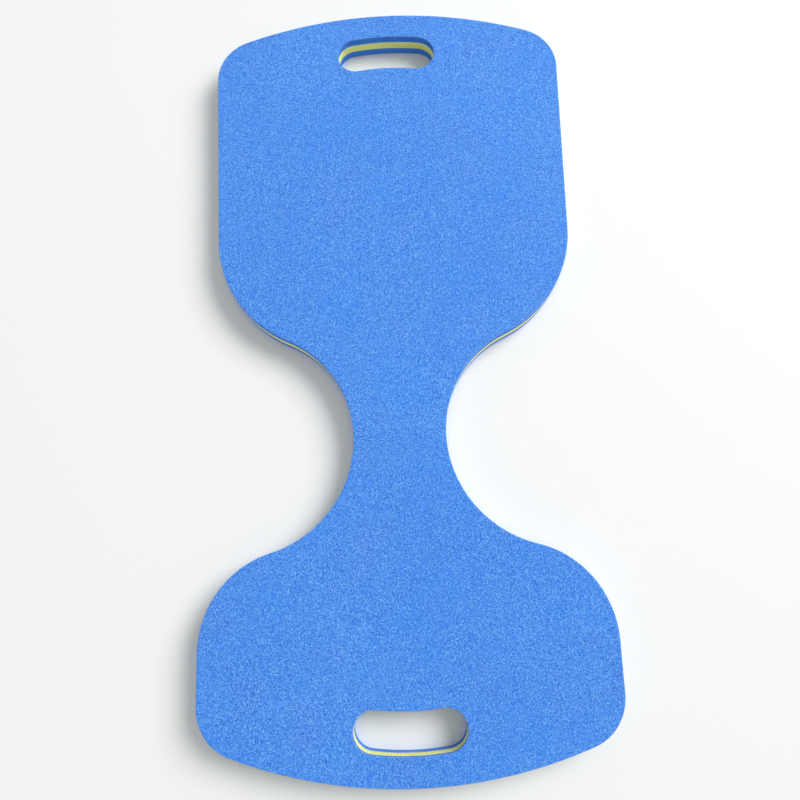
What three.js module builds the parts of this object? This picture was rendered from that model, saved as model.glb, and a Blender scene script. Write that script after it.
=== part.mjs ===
// A saddle float: a board of three bonded foam sheets with a narrow waist to sit astride, a panel
// that rises in front and another behind, and a hand slot through each panel's end.
// Lengths are in millimetres. The origin is the middle of the waist on the underside. +Y runs
// along the board to the longer panel, and +Z is up.

import * as THREE from 'three';

// Foam sheets. The outer two are alike.
const OUTER_THICKNESS = 9.5;
const CORE_THICKNESS = 11;

// Waist: one concave arc on each side.
const WAIST_HALF_WIDTH = 52;
const WAIST_RADIUS = 128;

// Panels: a convex shoulder, a straight side, a rounded corner and a gently arched end.
const CORNER_RADIUS = 54;
const END_RADIUS = 537;
const LONG_PANEL = { reach: 537, endHalfWidth: 211, shoulderHalfWidth: 207, shoulderRadius: 138 };
const WIDE_PANEL = { reach: 363, endHalfWidth: 224, shoulderHalfWidth: 224, shoulderRadius: 106 };

// Hand slots: alike, bowed towards the tip, with fully rounded ends.
const SLOT_LENGTH = 120;
const SLOT_WIDTH = 44;
const SLOT_BOW_RADIUS = 274;
const SLOT_SETBACK = 52;

// The foam flexes on either side of the waist. Each sheet is parted at the two flex lines, so that
// a panel can turn up about the top edge of its line.
const FLEX_LINE = 80;
const FLEX_GAP = 0.4;

// The furthest that a chord lies inside its arc.
const CHORD_ERROR = 0.15;

const QUARTER_TURN = Math.PI / 2;
const HALF_TURN = Math.PI;
const WAIST_CENTRE = new THREE.Vector2(WAIST_HALF_WIDTH + WAIST_RADIUS, 0);

const SHEETS = [
  { name: 'bottom_sheet', floor: 0, thickness: OUTER_THICKNESS, color: 0x4a8ae6 },
  { name: 'core_sheet', floor: OUTER_THICKNESS, thickness: CORE_THICKNESS, color: 0xe6e07e },
  {
    name: 'top_sheet',
    floor: OUTER_THICKNESS + CORE_THICKNESS,
    thickness: OUTER_THICKNESS,
    color: 0x4a8ae6,
  },
];

// Points along an arc, with both ends.
function arc(centre, radius, start, end) {
  const step = 2 * Math.acos(1 - CHORD_ERROR / radius);
  const count = Math.ceil(Math.abs(end - start) / step);
  return Array.from({ length: count + 1 }, (_, i) => {
    const angle = start + ((end - start) * i) / count;
    return new THREE.Vector2(
      centre.x + radius * Math.cos(angle),
      centre.y + radius * Math.sin(angle),
    );
  });
}

// A half outline, on the +X side and running outwards along +Y, closed by its mirror image.
function mirrored(half) {
  const onAxis = (point) => Math.abs(point.x) < 1e-6;
  const left = half.filter((point) => !onAxis(point)).reverse();
  return [...half, ...left.map((point) => new THREE.Vector2(-point.x, point.y))];
}

// The angle on the waist arc, seen from its centre, of the point at a distance along the board.
function waistAngle(y) {
  return HALF_TURN - Math.asin(y / WAIST_RADIUS);
}

function seatOutline() {
  const reach = FLEX_LINE - FLEX_GAP / 2;
  return mirrored(arc(WAIST_CENTRE, WAIST_RADIUS, waistAngle(-reach), waistAngle(reach)));
}

// The outline runs from the flex line along the waist, round the shoulder, straight up the side,
// round the corner and along the end to the tip. Each arc touches the next one.
function panelOutline({ reach, endHalfWidth, shoulderHalfWidth, shoulderRadius }) {
  const shoulderX = shoulderHalfWidth - shoulderRadius;
  const shoulder = new THREE.Vector2(
    shoulderX,
    Math.sqrt((WAIST_RADIUS + shoulderRadius) ** 2 - (WAIST_CENTRE.x - shoulderX) ** 2),
  );
  const end = new THREE.Vector2(0, reach - END_RADIUS);
  const cornerX = endHalfWidth - CORNER_RADIUS;
  const corner = new THREE.Vector2(
    cornerX,
    end.y + Math.sqrt((END_RADIUS - CORNER_RADIUS) ** 2 - cornerX ** 2),
  );

  const waistToShoulder = shoulder.clone().sub(WAIST_CENTRE).angle();
  const side = corner.clone().sub(shoulder);
  const sideNormal = side.angle() - Math.acos((shoulderRadius - CORNER_RADIUS) / side.length());
  const endToCorner = corner.clone().sub(end).angle();
  return mirrored([
    ...arc(WAIST_CENTRE, WAIST_RADIUS, waistAngle(FLEX_LINE + FLEX_GAP / 2), waistToShoulder),
    ...arc(shoulder, shoulderRadius, waistToShoulder - HALF_TURN, sideNormal).slice(1),
    ...arc(corner, CORNER_RADIUS, sideNormal, endToCorner),
    ...arc(end, END_RADIUS, endToCorner, QUARTER_TURN).slice(1),
  ]);
}

function slotOutline({ reach }) {
  const bowCentre = new THREE.Vector2(0, reach - SLOT_SETBACK - SLOT_BOW_RADIUS);
  const halfWidth = SLOT_WIDTH / 2;
  const bow = Math.asin((SLOT_LENGTH / 2 - halfWidth) / SLOT_BOW_RADIUS);
  const capCentre = new THREE.Vector2(
    bowCentre.x + SLOT_BOW_RADIUS * Math.sin(bow),
    bowCentre.y + SLOT_BOW_RADIUS * Math.cos(bow),
  );
  const outward = QUARTER_TURN - bow;
  return mirrored([
    ...arc(bowCentre, SLOT_BOW_RADIUS - halfWidth, QUARTER_TURN, outward),
    ...arc(capCentre, halfWidth, outward - HALF_TURN, outward).slice(1),
    ...arc(bowCentre, SLOT_BOW_RADIUS + halfWidth, outward, QUARTER_TURN).slice(1),
  ]);
}

// A section of the board: one solid of each sheet, cut to the same outline.
function section(name, outline, holes) {
  const shape = new THREE.Shape(outline);
  shape.holes = holes.map((hole) => new THREE.Path(hole));

  const group = new THREE.Group();
  for (const sheet of SHEETS) {
    const geometry = new THREE.ExtrudeGeometry(shape, {
      depth: sheet.thickness,
      bevelEnabled: false,
    });
    const material = new THREE.MeshStandardMaterial({
      color: sheet.color,
      roughness: 0.85,
      metalness: 0,
    });
    const mesh = new THREE.Mesh(geometry, material);
    mesh.name = `${sheet.name}_${name}`;
    mesh.position.z = sheet.floor;
    group.add(mesh);
  }
  return group;
}

// Both panels are drawn running along +Y. The wide one is then turned to face the other way.
const seat = section('seat', seatOutline(), []);
const longPanel = section('long_panel', panelOutline(LONG_PANEL), [slotOutline(LONG_PANEL)]);
const widePanel = section('wide_panel', panelOutline(WIDE_PANEL), [slotOutline(WIDE_PANEL)]);
widePanel.rotation.z = HALF_TURN;

const board = new THREE.Group();
board.add(seat, longPanel, widePanel);

export default board;
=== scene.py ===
import math

import bpy
import numpy as np
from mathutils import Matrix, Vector, noise
from mathutils.geometry import delaunay_2d_cdt


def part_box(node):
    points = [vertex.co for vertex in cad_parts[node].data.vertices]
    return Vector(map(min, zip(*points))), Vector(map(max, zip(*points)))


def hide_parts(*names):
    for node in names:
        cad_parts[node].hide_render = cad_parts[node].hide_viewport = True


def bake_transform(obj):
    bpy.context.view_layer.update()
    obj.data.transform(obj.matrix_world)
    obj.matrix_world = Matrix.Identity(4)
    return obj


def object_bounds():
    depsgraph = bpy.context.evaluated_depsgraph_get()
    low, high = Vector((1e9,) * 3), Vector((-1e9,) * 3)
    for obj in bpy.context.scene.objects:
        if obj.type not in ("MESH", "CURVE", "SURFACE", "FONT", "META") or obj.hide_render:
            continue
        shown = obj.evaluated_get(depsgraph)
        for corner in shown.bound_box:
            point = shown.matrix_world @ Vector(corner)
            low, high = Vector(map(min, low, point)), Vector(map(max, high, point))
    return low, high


# The looks of a saddle float: three bonded foam sheets, blue, yellow and blue, die-cut in one stroke.
# Each sheet is drawn as two halves that meet at the waist's middle, because each half bends on a
# hinge of its own. Lengths are metres, in the frame's axes: +Y to the longer panel, +Z up.

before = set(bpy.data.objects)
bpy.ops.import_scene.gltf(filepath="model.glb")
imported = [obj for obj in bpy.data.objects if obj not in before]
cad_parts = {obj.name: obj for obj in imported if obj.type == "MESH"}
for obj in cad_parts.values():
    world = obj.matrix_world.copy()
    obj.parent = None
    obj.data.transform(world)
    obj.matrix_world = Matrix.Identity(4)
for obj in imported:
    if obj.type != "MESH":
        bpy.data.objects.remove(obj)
cad_low, cad_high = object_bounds()

# Outline radii and widths. The reach of each panel and the height of each sheet come from the frame.
WAIST_HALF_WIDTH = 0.052
WAIST_RADIUS = 0.128
CORNER_RADIUS = 0.054
END_RADIUS = 0.537
PANELS = {
    "long_panel": {"end_half_width": 0.211, "shoulder_half_width": 0.207, "shoulder_radius": 0.138},
    "wide_panel": {"end_half_width": 0.224, "shoulder_half_width": 0.224, "shoulder_radius": 0.106},
}
SLOT_LENGTH = 0.120
SLOT_WIDTH = 0.044
SLOT_BOW_RADIUS = 0.274
SLOT_SETBACK = 0.052

# How finely the meshes are divided.
EDGE_STEP = 0.003
SHOWN_STEP = 0.004
HIDDEN_STEP = 0.014

# How near a face's inner points may come to its edge, as a share of the step. Two points nearer than
# MERGE_DISTANCE are one point, and TOLERANCE tells whether a point lies on a line or a plane.
EDGE_CLEARANCE = 0.6
MERGE_DISTANCE = 1e-7
TOLERANCE = 1e-6

# The die pulls the skin down towards the cut and leaves a small round arris. The shares say how far in
# each row of the roll lies.
ROLL_WIDTH = 0.010
ROLL_DEPTH = 0.0003
ROLL_SHARES = (1.0, 0.65, 0.4, 0.2)
ARRIS_RADIUS = 0.0006
ARRIS_ROWS = 4

# The top sheet's cut leans over the top third of the board's thickness, so that the edges below it lie
# nearer the wide panel's end. The cut wall is also a little hollow, and it wavers, half as fast from
# face to face as round the board.
LEAN_DEPTH = 0.0011
LEAN_SHARE = 1 / 3
HOLLOW_DEPTH = 0.00015
WAVER_DEPTH = 0.00012
WAVER_SIZE = 0.016
WAVER_UPRIGHT = 0.5

# The wall dips where two sheets join: how far in it lies, and how far from the joint.
SEAM_PROFILE = [(0.0005, 0.0), (0.0002, 0.0002), (0.0, 0.0006)]

# Rows across a cut wall: the share of the sheet's height, and how much painted highlight it gets there.
WALL_ROWS = [(0.8, 0.5), (0.6, 0.1), (0.4, 0.0), (0.2, 0.0)]

# The skin swells and dimples slightly. SWELL_SHIFT sets the two faces' swells apart. The relief fades
# out at the waist's middle, where halves meet.
SWELL_DEPTH = 0.0006
SWELL_SIZE = 0.070
SWELL_SHIFT = 9
DIMPLE_DEPTH = 0.00022
DIMPLE_SIZE = 0.013
RELIEF_FADE = 0.030

QUARTER_TURN = math.pi / 2
HALF_TURN = math.pi
SKIN, CUT = 0, 1


def smooth_step(value):
    value = min(1.0, max(0.0, value))
    return value * value * (3 - 2 * value)


# Outline. A sample is a point of the outline with the normal that points out of the foam.


def arc(centre, radius, start, end, bulge):
    """Samples along an arc. bulge is 1 where the foam is on the centre's side, and -1 where it isn't."""
    count = max(1, math.ceil(abs(end - start) * radius / EDGE_STEP))
    samples = []
    for i in range(count + 1):
        angle = start + (end - start) * i / count
        ray = Vector((math.cos(angle), math.sin(angle)))
        samples.append((centre + radius * ray, bulge * ray))
    return samples


def straight(start, end, normal):
    """Samples between two points, without either of them."""
    count = max(1, math.ceil((end - start).length / EDGE_STEP))
    return [(start.lerp(end, i / count), normal) for i in range(1, count)]


def direction(vector):
    return math.atan2(vector.y, vector.x)


def with_mirror(samples):
    """The samples, then their mirror images in reverse. A sample on the mirror line comes only once."""
    flipped = [
        (Vector((-point.x, point.y)), Vector((-normal.x, normal.y)))
        for point, normal in reversed(samples)
        if abs(point.x) > TOLERANCE
    ]
    return samples + flipped


def panel_outline(panel, reach):
    """A half board's outline, from one side of the waist's middle round the tip to the other side."""
    sizes = PANELS[panel]
    shoulder_radius = sizes["shoulder_radius"]
    waist = Vector((WAIST_HALF_WIDTH + WAIST_RADIUS, 0))
    shoulder = Vector((sizes["shoulder_half_width"] - shoulder_radius, 0))
    shoulder.y = math.sqrt((WAIST_RADIUS + shoulder_radius) ** 2 - (waist.x - shoulder.x) ** 2)
    end = Vector((0, reach - END_RADIUS))
    corner = Vector((sizes["end_half_width"] - CORNER_RADIUS, 0))
    corner.y = end.y + math.sqrt((END_RADIUS - CORNER_RADIUS) ** 2 - corner.x**2)

    to_shoulder = direction(shoulder - waist)
    side = corner - shoulder
    side_normal = direction(side) - math.acos((shoulder_radius - CORNER_RADIUS) / side.length)
    to_corner = direction(corner - end)
    lower = arc(waist, WAIST_RADIUS, HALF_TURN, to_shoulder, -1)
    lower += arc(shoulder, shoulder_radius, to_shoulder - HALF_TURN, side_normal, 1)[1:]
    upper = arc(corner, CORNER_RADIUS, side_normal, to_corner, 1)
    upper += arc(end, END_RADIUS, to_corner, QUARTER_TURN, 1)[1:]
    return with_mirror(lower + straight(lower[-1][0], upper[0][0], upper[0][1]) + upper)


def slot_outline(reach):
    """The hand slot. Its samples go round with the foam on the left, as the board's outline does."""
    bow = Vector((0, reach - SLOT_SETBACK - SLOT_BOW_RADIUS))
    half_width = SLOT_WIDTH / 2
    swing = math.asin((SLOT_LENGTH / 2 - half_width) / SLOT_BOW_RADIUS)
    outward = QUARTER_TURN - swing
    cap = bow + SLOT_BOW_RADIUS * Vector((math.cos(outward), math.sin(outward)))
    samples = arc(bow, SLOT_BOW_RADIUS - half_width, QUARTER_TURN, outward, 1)
    samples += arc(cap, half_width, outward - HALF_TURN, outward, -1)[1:]
    samples += arc(bow, SLOT_BOW_RADIUS + half_width, outward, QUARTER_TURN, -1)[1:]
    return with_mirror(samples)[::-1]


# Section through a sheet's edge. A row is how far in it lies, its height, how much painted highlight
# it gets, and whether it belongs to the skin.


def outer_rows(face, inwards):
    """Rows from the skin over the arris. inwards is -1 below an upper face and 1 above a lower one."""
    rows = []
    for share in ROLL_SHARES:
        drop = ROLL_DEPTH * (1 - share) ** 2
        rows.append((ROLL_WIDTH * share, face + inwards * drop, 0.0, SKIN))
    start = face + inwards * ROLL_DEPTH
    for i in range(ARRIS_ROWS + 1):
        angle = QUARTER_TURN * i / ARRIS_ROWS
        inset = ARRIS_RADIUS * (1 - math.sin(angle))
        drop = ARRIS_RADIUS * (1 - math.cos(angle))
        # The arris rows get a painted highlight, strongest where the arris turns down into the wall.
        rows.append((inset, start + inwards * drop, math.sin(angle), SKIN))
    return rows


def seam_rows(face, inwards):
    """Rows from a joint onto the cut wall. The upper lip of a sheet gets a painted highlight."""
    painted_highlight = 1.0 if inwards < 0 else 0.0
    return [(inset, face + inwards * rise, painted_highlight, CUT) for inset, rise in SEAM_PROFILE]


def sheet_rows(low, high, is_bottom, is_top):
    """The rows of a sheet's edge, from its upper face down to its lower face."""
    upper = outer_rows(high, -1) if is_top else seam_rows(high, -1)
    lower = outer_rows(low, 1) if is_bottom else seam_rows(low, 1)
    between = [(0.0, low + (high - low) * share, painted_highlight, CUT) for share, painted_highlight in WALL_ROWS]
    return upper + between + lower[::-1]


# Small shape changes, worked out from where a point is on the board.


def cut_depth(point, normal, height, thickness):
    """How far the cut wall lies inside the outline."""
    hollow = HOLLOW_DEPTH * (1 - (2 * height / thickness - 1) ** 2)
    lean = LEAN_DEPTH * smooth_step((1 - height / thickness) / LEAN_SHARE) * normal.y
    place = Vector((point.x, point.y, height * WAVER_UPRIGHT)) / WAVER_SIZE
    return hollow + lean + WAVER_DEPTH * noise.noise(place)


def relief_depth(point, height):
    """How far the skin lies under its face's plane."""
    swell = SWELL_DEPTH * (1 + noise.noise(Vector((*point, height * SWELL_SHIFT)) / SWELL_SIZE)) / 2
    dimple = DIMPLE_DEPTH * (1 + noise.noise(Vector((*point, height)) / DIMPLE_SIZE)) / 2
    return smooth_step(abs(point.y) / RELIEF_FADE) * (swell + dimple)


# Filling a face.


def inside(points, loop):
    """Which points lie inside a closed loop."""
    ends = np.roll(loop, -1, axis=0)
    found = np.zeros(len(points), bool)
    for (x0, y0), (x1, y1) in zip(loop, ends):
        if y0 == y1:
            continue
        crosses = (points[:, 1] > y0) != (points[:, 1] > y1)
        at = x0 + (points[:, 1] - y0) * (x1 - x0) / (y1 - y0)
        found ^= crosses & (points[:, 0] < at)
    return found


def in_foam(points, loops):
    kept = inside(points, loops[0])
    for hole in loops[1:]:
        kept &= ~inside(points, hole)
    return kept


def lattice(loops, step):
    """Points on a triangular lattice, inside the first loop, outside the others and clear of all."""
    low, high = loops[0].min(0), loops[0].max(0)
    rows = np.arange(low[1] + step / 2, high[1], step * math.sqrt(3) / 2)
    grid = []
    for i, y in enumerate(rows):
        across = np.arange(low[0] + step * (0.5 if i % 2 else 1.0), high[0], step)
        grid.append(np.column_stack([across, np.full(len(across), y)]))
    grid = np.vstack(grid)
    grid = grid[in_foam(grid, loops)]
    edge = np.vstack(loops)
    nearest = np.full(len(grid), np.inf)
    for point in edge:
        nearest = np.minimum(nearest, ((grid - point) ** 2).sum(1))
    return grid[nearest > (EDGE_CLEARANCE * step) ** 2]


def fill(loops, step):
    """Triangles between the loops. The loops' points come first in the list of points, in order."""
    inner = lattice(loops, step)
    points = np.vstack([*loops, inner])
    edges = []
    first = 0
    for loop in loops:
        count = len(loop)
        edges += [(first + i, first + (i + 1) % count) for i in range(count)]
        first += count
    vectors = [Vector(point) for point in points.tolist()]
    made = delaunay_2d_cdt(vectors, edges, [], 0, MERGE_DISTANCE)
    places, corners, sources = made[0], made[2], made[3]
    origin = [source[0] for source in sources]
    triangles = np.array([[origin[i] for i in face] for face in corners if len(face) == 3])
    centres = points[triangles].mean(1)
    assert len(places) == len(points)
    return points, triangles[in_foam(centres, loops)]


# Building a half sheet.


class Foam:
    """A mesh in the making: one half of one sheet."""

    def __init__(self, turned, thickness):
        self.turn = -1 if turned else 1
        self.thickness = thickness
        self.points = []
        self.painted_highlight = []
        self.faces = []
        self.slots = []

    def placed(self, point):
        return self.turn * point

    def add(self, point, height, painted_highlight=0.0):
        point = self.placed(point)
        self.points.append((point.x, point.y, height))
        self.painted_highlight.append(painted_highlight)
        return len(self.points) - 1

    def add_face(self, corners, slot):
        self.faces.append(corners)
        self.slots.append(slot)

    def skin_height(self, point, face, inwards, inset, relieved):
        if not relieved:
            return face
        fade = smooth_step(inset / ROLL_WIDTH)
        return face + inwards * fade * relief_depth(self.placed(point), face)

    def ring(self, samples, row, middle):
        """One row's vertices all round an outline."""
        inset, height, painted_highlight, slot = row
        inwards = -1 if height > middle else 1
        made = []
        for point, normal in samples:
            depth = cut_depth(self.placed(point), self.placed(normal), height, self.thickness)
            depth *= 1 - smooth_step(inset / ROLL_WIDTH)
            shifted = point - (inset + depth) * normal
            if abs(point.y) < TOLERANCE:
                shifted.y = 0.0
            high = self.skin_height(shifted, height, inwards, inset, slot == SKIN)
            made.append(self.add(shifted, high, painted_highlight))
        return made

    def edge(self, samples, rows, closed):
        """The wall round an outline, as rings of quads."""
        middle = (rows[0][1] + rows[-1][1]) / 2
        rings = [self.ring(samples, row, middle) for row in rows]
        count = len(samples)
        for upper, lower, row_above, row_below in zip(rings, rings[1:], rows, rows[1:]):
            slot = CUT if CUT in (row_above[3], row_below[3]) else SKIN
            for i in range(count if closed else count - 1):
                after = (i + 1) % count
                self.add_face((upper[i], lower[i], lower[after], upper[after]), slot)
        return rings

    def waist_line(self, ring, height, step):
        """Vertices between the ring's two ends, along the waist's middle, from the left to the right."""
        left, right = self.local(ring[-1]), self.local(ring[0])
        count = math.ceil((right.x - left.x) / step)
        return [self.add(left.lerp(right, i / count), height) for i in range(1, count)]

    def local(self, index):
        x, y, _ = self.points[index]
        return self.turn * Vector((x, y))

    def face(self, outline_ring, slot_ring, line, height, upward, shown):
        """Fills an upper or lower face between its rings."""
        rings = [outline_ring + line, slot_ring]
        loops = [np.array([self.local(i)[:] for i in ring]) for ring in rings]
        points, triangles = fill(loops, SHOWN_STEP if shown else HIDDEN_STEP)
        known = rings[0] + rings[1]
        inwards = -1 if upward else 1
        for x, y in points[len(known):].tolist():
            point = Vector((x, y))
            high = self.skin_height(point, height, inwards, ROLL_WIDTH, shown)
            known.append(self.add(point, high))
        for triangle in triangles.tolist():
            corners = [known[i] for i in triangle]
            self.add_face(corners if upward else corners[::-1], SKIN if shown else CUT)

    def object(self, name):
        mesh = bpy.data.meshes.new(name)
        mesh.from_pydata(self.points, [], self.faces)
        mesh.polygons.foreach_set("material_index", self.slots)
        mesh.polygons.foreach_set("use_smooth", [True] * len(self.faces))
        place = mesh.attributes.new("place", "FLOAT_VECTOR", "POINT")
        place.data.foreach_set("vector", np.array(self.points, np.float32).ravel())
        # Painted highlight on the arrises, the sheets' upper lips and the tops of the walls, for the
        # materials.
        painted_highlight = mesh.attributes.new("painted_highlight", "FLOAT", "POINT")
        painted_highlight.data.foreach_set("value", np.array(self.painted_highlight, np.float32))
        on_waist = [abs(point[1]) < TOLERANCE for point in self.points]
        for edge in mesh.edges:
            edge.use_edge_sharp = all(on_waist[i] for i in edge.vertices)
        piece = bpy.data.objects.new(name, mesh)
        bpy.context.scene.collection.objects.link(piece)
        return piece


def half_sheet(name, panel, low, high, thickness):
    """One half of a sheet, from the waist's middle to a panel's tip."""
    turned = panel == "wide_panel"
    panel_low, panel_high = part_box(f"top_sheet_{panel}")
    reach = -panel_low.y if turned else panel_high.y
    is_bottom = low < TOLERANCE
    is_top = high > thickness - TOLERANCE
    foam = Foam(turned, thickness)
    rows = sheet_rows(low, high, is_bottom, is_top)
    outline_rings = foam.edge(panel_outline(panel, reach), rows, closed=False)
    slot_rings = foam.edge(slot_outline(reach), rows, closed=True)
    top_line = foam.waist_line(outline_rings[0], high, SHOWN_STEP if is_top else HIDDEN_STEP)
    low_line = foam.waist_line(outline_rings[-1], low, SHOWN_STEP if is_bottom else HIDDEN_STEP)
    foam.face(outline_rings[0], slot_rings[0], top_line, high, upward=True, shown=is_top)
    foam.face(outline_rings[-1], slot_rings[-1], low_line, low, upward=False, shown=is_bottom)
    right = [ring[0] for ring in reversed(outline_rings)]
    left = [ring[-1] for ring in outline_rings]
    foam.add_face(low_line + right + top_line[::-1] + left, CUT)
    return foam.object(name)


# Materials.


class Nodes:
    """A material's node tree, with short calls to add to it."""

    def __init__(self, name):
        self.material = bpy.data.materials.new(name)
        self.material.use_nodes = True
        self.tree = self.material.node_tree
        self.tree.nodes.clear()
        output = self.tree.nodes.new("ShaderNodeOutputMaterial")
        self.surface = self.tree.nodes.new("ShaderNodeBsdfPrincipled")
        self.tree.links.new(self.surface.outputs["BSDF"], output.inputs["Surface"])

    def set(self, socket, value):
        if isinstance(value, bpy.types.NodeSocket):
            self.tree.links.new(value, socket)
        else:
            socket.default_value = value

    def add(self, kind, output, inputs, **settings):
        node = self.tree.nodes.new(kind)
        for key, value in settings.items():
            setattr(node, key, value)
        for key, value in inputs.items():
            self.set(node.inputs[key], value)
        return node.outputs[output]

    def attribute(self, name, output):
        return self.add("ShaderNodeAttribute", output, {}, attribute_name=name)

    def noise(self, place, size, detail=2.0, roughness=0.5):
        """Noise from 0 to 1 whose grains are about size metres across."""
        inputs = {"Vector": place, "Scale": 1 / size, "Detail": detail, "Roughness": roughness}
        return self.add("ShaderNodeTexNoise", "Fac", inputs)

    def cells(self, place, size, feature="F1"):
        """Distance from the nearest cell's centre, as a share of a cell."""
        inputs = {"Vector": place, "Scale": 1 / size}
        return self.add("ShaderNodeTexVoronoi", "Distance", inputs, feature=feature)

    def cell_tone(self, place, size):
        """A random value from 0 to 1 for each cell."""
        colour = self.add("ShaderNodeTexVoronoi", "Color", {"Vector": place, "Scale": 1 / size})
        return self.add("ShaderNodeSeparateColor", "Red", {"Color": colour})

    def stretch(self, place, scale):
        """A place scaled along each axis, so that a pattern laid out on it is drawn out or squeezed."""
        inputs = {"Vector": place, "Scale": scale}
        return self.add("ShaderNodeMapping", "Vector", inputs)

    def warp(self, place, size, reach):
        """A place pushed about by noise, up to about half of reach each way."""
        inputs = {"Vector": place, "Scale": 1 / size}
        push = self.add("ShaderNodeTexNoise", "Color", inputs)
        push = self.vector_math("SUBTRACT", {0: push, 1: (0.5, 0.5, 0.5)})
        push = self.vector_math("SCALE", {0: push, "Scale": reach})
        return self.vector_math("ADD", {0: place, 1: push})

    def ramp(self, value, low, high, to_low=0.0, to_high=1.0):
        """Maps a value from one range to another, and holds it there."""
        inputs = {
            "Value": value,
            "From Min": low,
            "From Max": high,
            "To Min": to_low,
            "To Max": to_high,
        }
        return self.add("ShaderNodeMapRange", "Result", inputs)

    def math(self, operation, first, second):
        return self.add("ShaderNodeMath", "Value", {0: first, 1: second}, operation=operation)

    def vector_math(self, operation, inputs):
        return self.add("ShaderNodeVectorMath", "Vector", inputs, operation=operation)

    def mix(self, share, first, second):
        """A colour between two. The node numbers its colour sockets 6 and 7, and its colour output 2."""
        inputs = {0: share, 6: first, 7: second}
        return self.add("ShaderNodeMix", 2, inputs, data_type="RGBA")

    def bump(self, height, distance, strength):
        inputs = {"Height": height, "Distance": distance, "Strength": strength}
        return self.add("ShaderNodeBump", "Normal", inputs)

    def finish(self, **inputs):
        for key, value in inputs.items():
            self.set(self.surface.inputs[key.replace("_", " ")], value)
        return self.material


def rgb(red, green, blue):
    """A colour given as it looks on a screen, from 0 to 255."""
    linear = []
    for part in (red, green, blue):
        share = part / 255
        linear.append(share / 12.92 if share <= 0.04045 else ((share + 0.055) / 1.055) ** 2.4)
    return (*linear, 1.0)


BLUE_DARK = rgb(12, 86, 204)
BLUE_PALE = rgb(106, 178, 255)
# Pale blue for small painted glints on the skin.
BLUE_PAINTED_GLINT = rgb(150, 208, 255)
BLUE_CYAN = rgb(42, 140, 244)
# Pale blue for the painted highlight on the skin's arris.
BLUE_ARRIS_HIGHLIGHT = rgb(150, 190, 240)
BLUE_CUT = rgb(54, 136, 236)
# Darker blue: painted shade in the cut cells, and the foam's darker strokes and blotches.
BLUE_PORE_SHADE_AND_TONE = rgb(28, 88, 182)
YELLOW_CUT = rgb(250, 251, 140)
# Deeper yellow: painted shade in the cut cells, and the foam's darker strokes and blotches.
YELLOW_PORE_SHADE_AND_TONE = rgb(234, 228, 88)
# Pale yellow for the painted highlight on the core's upper lip.
YELLOW_LIT_LIP = rgb(246, 252, 200)

# The skin's grains and its pale specks, which are painted glints, are drawn out along the board. Its
# pebbles, patches and clouds aren't.
SKIN_DRAWN = (1.25, 0.75, 1.0)
GRAIN_SIZE = 0.0009
GLINT_SPECK_SIZE = 0.0015
PEBBLE_SIZE = 0.0026
PATCH_SIZE = 0.060
CLOUD_SIZE = 0.22
SKIN_RELIEF = 0.0009

# The cut foam's cells are bent out of their regular places. The die's strokes run from face to face.
CELL_SIZE = 0.0008
CELL_WARP_SIZE = 0.0011
CELL_WARP_REACH = 0.0012
STROKE_SIZE = 0.0016
STROKE_DRAWN = (1.0, 1.0, 0.12)
BLOTCH_SIZE = 0.02
CUT_RELIEF = 0.0006


def skin_material():
    """Blue foam skin: fine light and dark grains, painted glints, soft patches and a painted arris
    highlight.
    """
    nodes = Nodes("blue_skin")
    place = nodes.attribute("place", "Vector")
    drawn = nodes.stretch(place, SKIN_DRAWN)
    grain = nodes.noise(drawn, GRAIN_SIZE, detail=2.0, roughness=0.6)
    glint_speck = nodes.noise(drawn, GLINT_SPECK_SIZE, detail=1.0)
    patch = nodes.noise(place, PATCH_SIZE, detail=4.0, roughness=0.6)
    cloud = nodes.noise(place, CLOUD_SIZE, detail=2.0)
    grain_tone = nodes.ramp(grain, 0.32, 0.68)
    tone = nodes.mix(0.6, nodes.cell_tone(drawn, GRAIN_SIZE), grain_tone)
    colour = nodes.mix(nodes.ramp(tone, 0.26, 0.78), BLUE_DARK, BLUE_PALE)
    colour = nodes.mix(nodes.ramp(patch, 0.35, 0.75, 0.0, 0.4), colour, BLUE_CYAN)
    colour = nodes.mix(nodes.ramp(cloud, 0.3, 0.7, 0.0, 0.14), colour, BLUE_DARK)
    # Pale specks over the skin: painted glints.
    colour = nodes.mix(nodes.ramp(glint_speck, 0.55, 0.72, 0.0, 0.6), colour, BLUE_PAINTED_GLINT)
    # Painted highlight along the arris, broken up by the grain.
    highlight_share = nodes.ramp(grain, 0.3, 0.6, 0.2, 0.6)
    arris_highlight = nodes.math("MULTIPLY", nodes.attribute("painted_highlight", "Fac"), highlight_share)
    colour = nodes.mix(arris_highlight, colour, BLUE_ARRIS_HIGHLIGHT)
    pebble = nodes.cells(place, PEBBLE_SIZE, "SMOOTH_F1")
    grain_height = nodes.math("MULTIPLY", grain, 0.7)
    pebble_height = nodes.math("MULTIPLY", pebble, -0.5)
    normal = nodes.bump(nodes.math("ADD", grain_height, pebble_height), SKIN_RELIEF, 0.55)
    return nodes.finish(
        Base_Color=colour,
        Roughness=nodes.ramp(grain, 0.3, 0.7, 0.62, 0.82),
        Specular_IOR_Level=0.25,
        Sheen_Weight=0.05,
        Sheen_Roughness=0.6,
        Normal=normal,
    )


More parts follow.
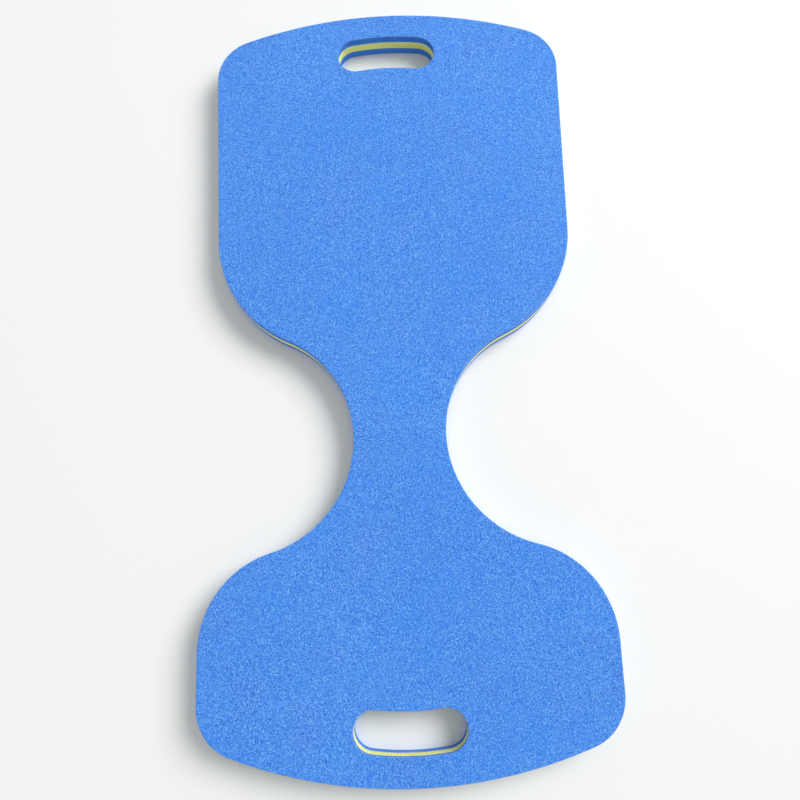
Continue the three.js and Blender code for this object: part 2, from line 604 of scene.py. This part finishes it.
def cut_material(name, flesh, pore_shade_and_tone, lit_lip):
    """Cut foam: open cells with painted shade in their pores, the die's fine upright strokes, and a
    painted highlight on the upper lip.
    """
    nodes = Nodes(name)
    place = nodes.attribute("place", "Vector")
    bent = nodes.warp(place, CELL_WARP_SIZE, CELL_WARP_REACH)
    cell = nodes.cells(bent, CELL_SIZE)
    # Each pore gets a random depth, and deeper pores are painted darker: painted shade in the open
    # cells.
    hollow = nodes.ramp(cell, 0.1, 0.6, 1.0, 0.0)
    hole = nodes.math("MULTIPLY", hollow, nodes.cell_tone(bent, CELL_SIZE))
    stroke = nodes.noise(nodes.stretch(place, STROKE_DRAWN), STROKE_SIZE, detail=2.0)
    blotch = nodes.noise(place, BLOTCH_SIZE, detail=2.0)
    # Painted shade in the pores.
    colour = nodes.mix(hole, flesh, pore_shade_and_tone)
    colour = nodes.mix(nodes.ramp(stroke, 0.48, 0.7, 0.0, 0.5), colour, pore_shade_and_tone)
    colour = nodes.mix(nodes.ramp(blotch, 0.4, 0.7, 0.0, 0.15), colour, pore_shade_and_tone)
    # Painted highlight on each sheet's upper lip and the top of its wall.
    colour = nodes.mix(nodes.math("MULTIPLY", nodes.attribute("painted_highlight", "Fac"), 0.7), colour, lit_lip)
    height = nodes.math("SUBTRACT", nodes.math("MULTIPLY", stroke, 0.6), hole)
    normal = nodes.bump(height, CUT_RELIEF, 0.5)
    return nodes.finish(
        Base_Color=colour,
        Roughness=nodes.ramp(cell, 0.1, 0.6, 0.95, 0.8),
        Specular_IOR_Level=0.25,
        Sheen_Weight=0.1,
        Sheen_Roughness=0.7,
        Normal=normal,
    )


# The object.

blue_skin = skin_material()
blue_cut = cut_material("blue_cut_foam", BLUE_CUT, BLUE_PORE_SHADE_AND_TONE, BLUE_CUT)
yellow_cut = cut_material("yellow_cut_foam", YELLOW_CUT, YELLOW_PORE_SHADE_AND_TONE, YELLOW_LIT_LIP)

SHEETS = {
    "bottom_sheet": ([blue_skin, blue_cut], "blue_foam"),
    "core_sheet": ([yellow_cut, yellow_cut], "yellow_foam"),
    "top_sheet": ([blue_skin, blue_cut], "blue_foam"),
}
board_thickness = cad_high.z

for sheet, (materials, slot) in SHEETS.items():
    low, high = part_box(f"{sheet}_seat")
    for panel in PANELS:
        half = half_sheet(f"{sheet}_{panel.split('_')[0]}_half", panel, low.z, high.z, board_thickness)
        for material in materials:
            half.data.materials.append(material)
        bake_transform(half)
        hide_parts(f"{sheet}_{panel}", f"{sheet}_seat")

# Floor, light and camera.

FLOOR_HALF_WIDTH = 60.0
FLOOR_GAP = 0.0003
FLOOR_COLOUR = rgb(243, 243, 243)
SKY_COLOUR = (0.96, 0.98, 1.0, 1.0)
SKY_LIGHT = 0.5
SKY_SEEN = 0.86
SUN_PLACE = (1.7, 0.95, 1.7)
SUN_TARGET = (0, 0, 0)
SOFTBOX_PLACE = (1.3, 0.9, 1.2)
SOFTBOX_TARGET = (0, 0.1, 0)

# The camera's place is measured from the middle of the waist's upper face. Its turn is in radians, and
# its lens and sensor are in millimetres.
CAMERA_PLACE = (0.0133, -0.1048, 0.7534)
CAMERA_TURN = (0.1905, 0.0151, -0.0398)
CAMERA_LENS = 30.58
SENSOR_WIDTH = 36.0


def make_floor():
    corners = [(-1, -1), (1, -1), (1, 1), (-1, 1)]
    mesh = bpy.data.meshes.new("floor")
    points = [(x * FLOOR_HALF_WIDTH, y * FLOOR_HALF_WIDTH, -FLOOR_GAP) for x, y in corners]
    mesh.from_pydata(points, [], [(0, 1, 2, 3)])
    nodes = Nodes("pale_floor")
    mesh.materials.append(nodes.finish(Base_Color=FLOOR_COLOUR, Roughness=0.9))
    floor = bpy.data.objects.new("floor", mesh)
    bpy.context.scene.collection.objects.link(floor)


def make_world():
    """An even pale sky, brighter to the camera than it shines on the board."""
    world = bpy.data.worlds.new("studio")
    world.use_nodes = True
    tree = world.node_tree
    background = tree.nodes["Background"]
    background.inputs["Color"].default_value = SKY_COLOUR
    path = tree.nodes.new("ShaderNodeLightPath")
    strength = tree.nodes.new("ShaderNodeMapRange")
    strength.inputs["To Min"].default_value = SKY_LIGHT
    strength.inputs["To Max"].default_value = SKY_SEEN
    tree.links.new(path.outputs["Is Camera Ray"], strength.inputs["Value"])
    tree.links.new(strength.outputs["Result"], background.inputs["Strength"])
    bpy.context.scene.world = world


def add_light(name, kind, place, target, **settings):
    light = bpy.data.lights.new(name, kind)
    for key, value in settings.items():
        setattr(light, key, value)
    holder = bpy.data.objects.new(name, light)
    holder.location = place
    holder.rotation_euler = (Vector(target) - Vector(place)).to_track_quat("-Z", "Y").to_euler()
    bpy.context.scene.collection.objects.link(holder)


def make_camera():
    """A camera over the board, a little nearer the wide panel."""
    data = bpy.data.cameras.new("camera")
    data.sensor_width = SENSOR_WIDTH
    data.lens = CAMERA_LENS
    camera = bpy.data.objects.new("camera", data)
    camera.rotation_mode = "ZYX"
    camera.rotation_euler = CAMERA_TURN
    camera.location = Vector(CAMERA_PLACE) + Vector((0, 0, board_thickness))
    bpy.context.scene.collection.objects.link(camera)
    bpy.context.scene.camera = camera


make_floor()
make_world()
add_light("daylight", "SUN", SUN_PLACE, SUN_TARGET, energy=2.1, angle=0.6)
add_light("softbox", "AREA", SOFTBOX_PLACE, SOFTBOX_TARGET, energy=8, size=1.0)
make_camera()
bpy.context.scene.view_settings.view_transform = "Standard"
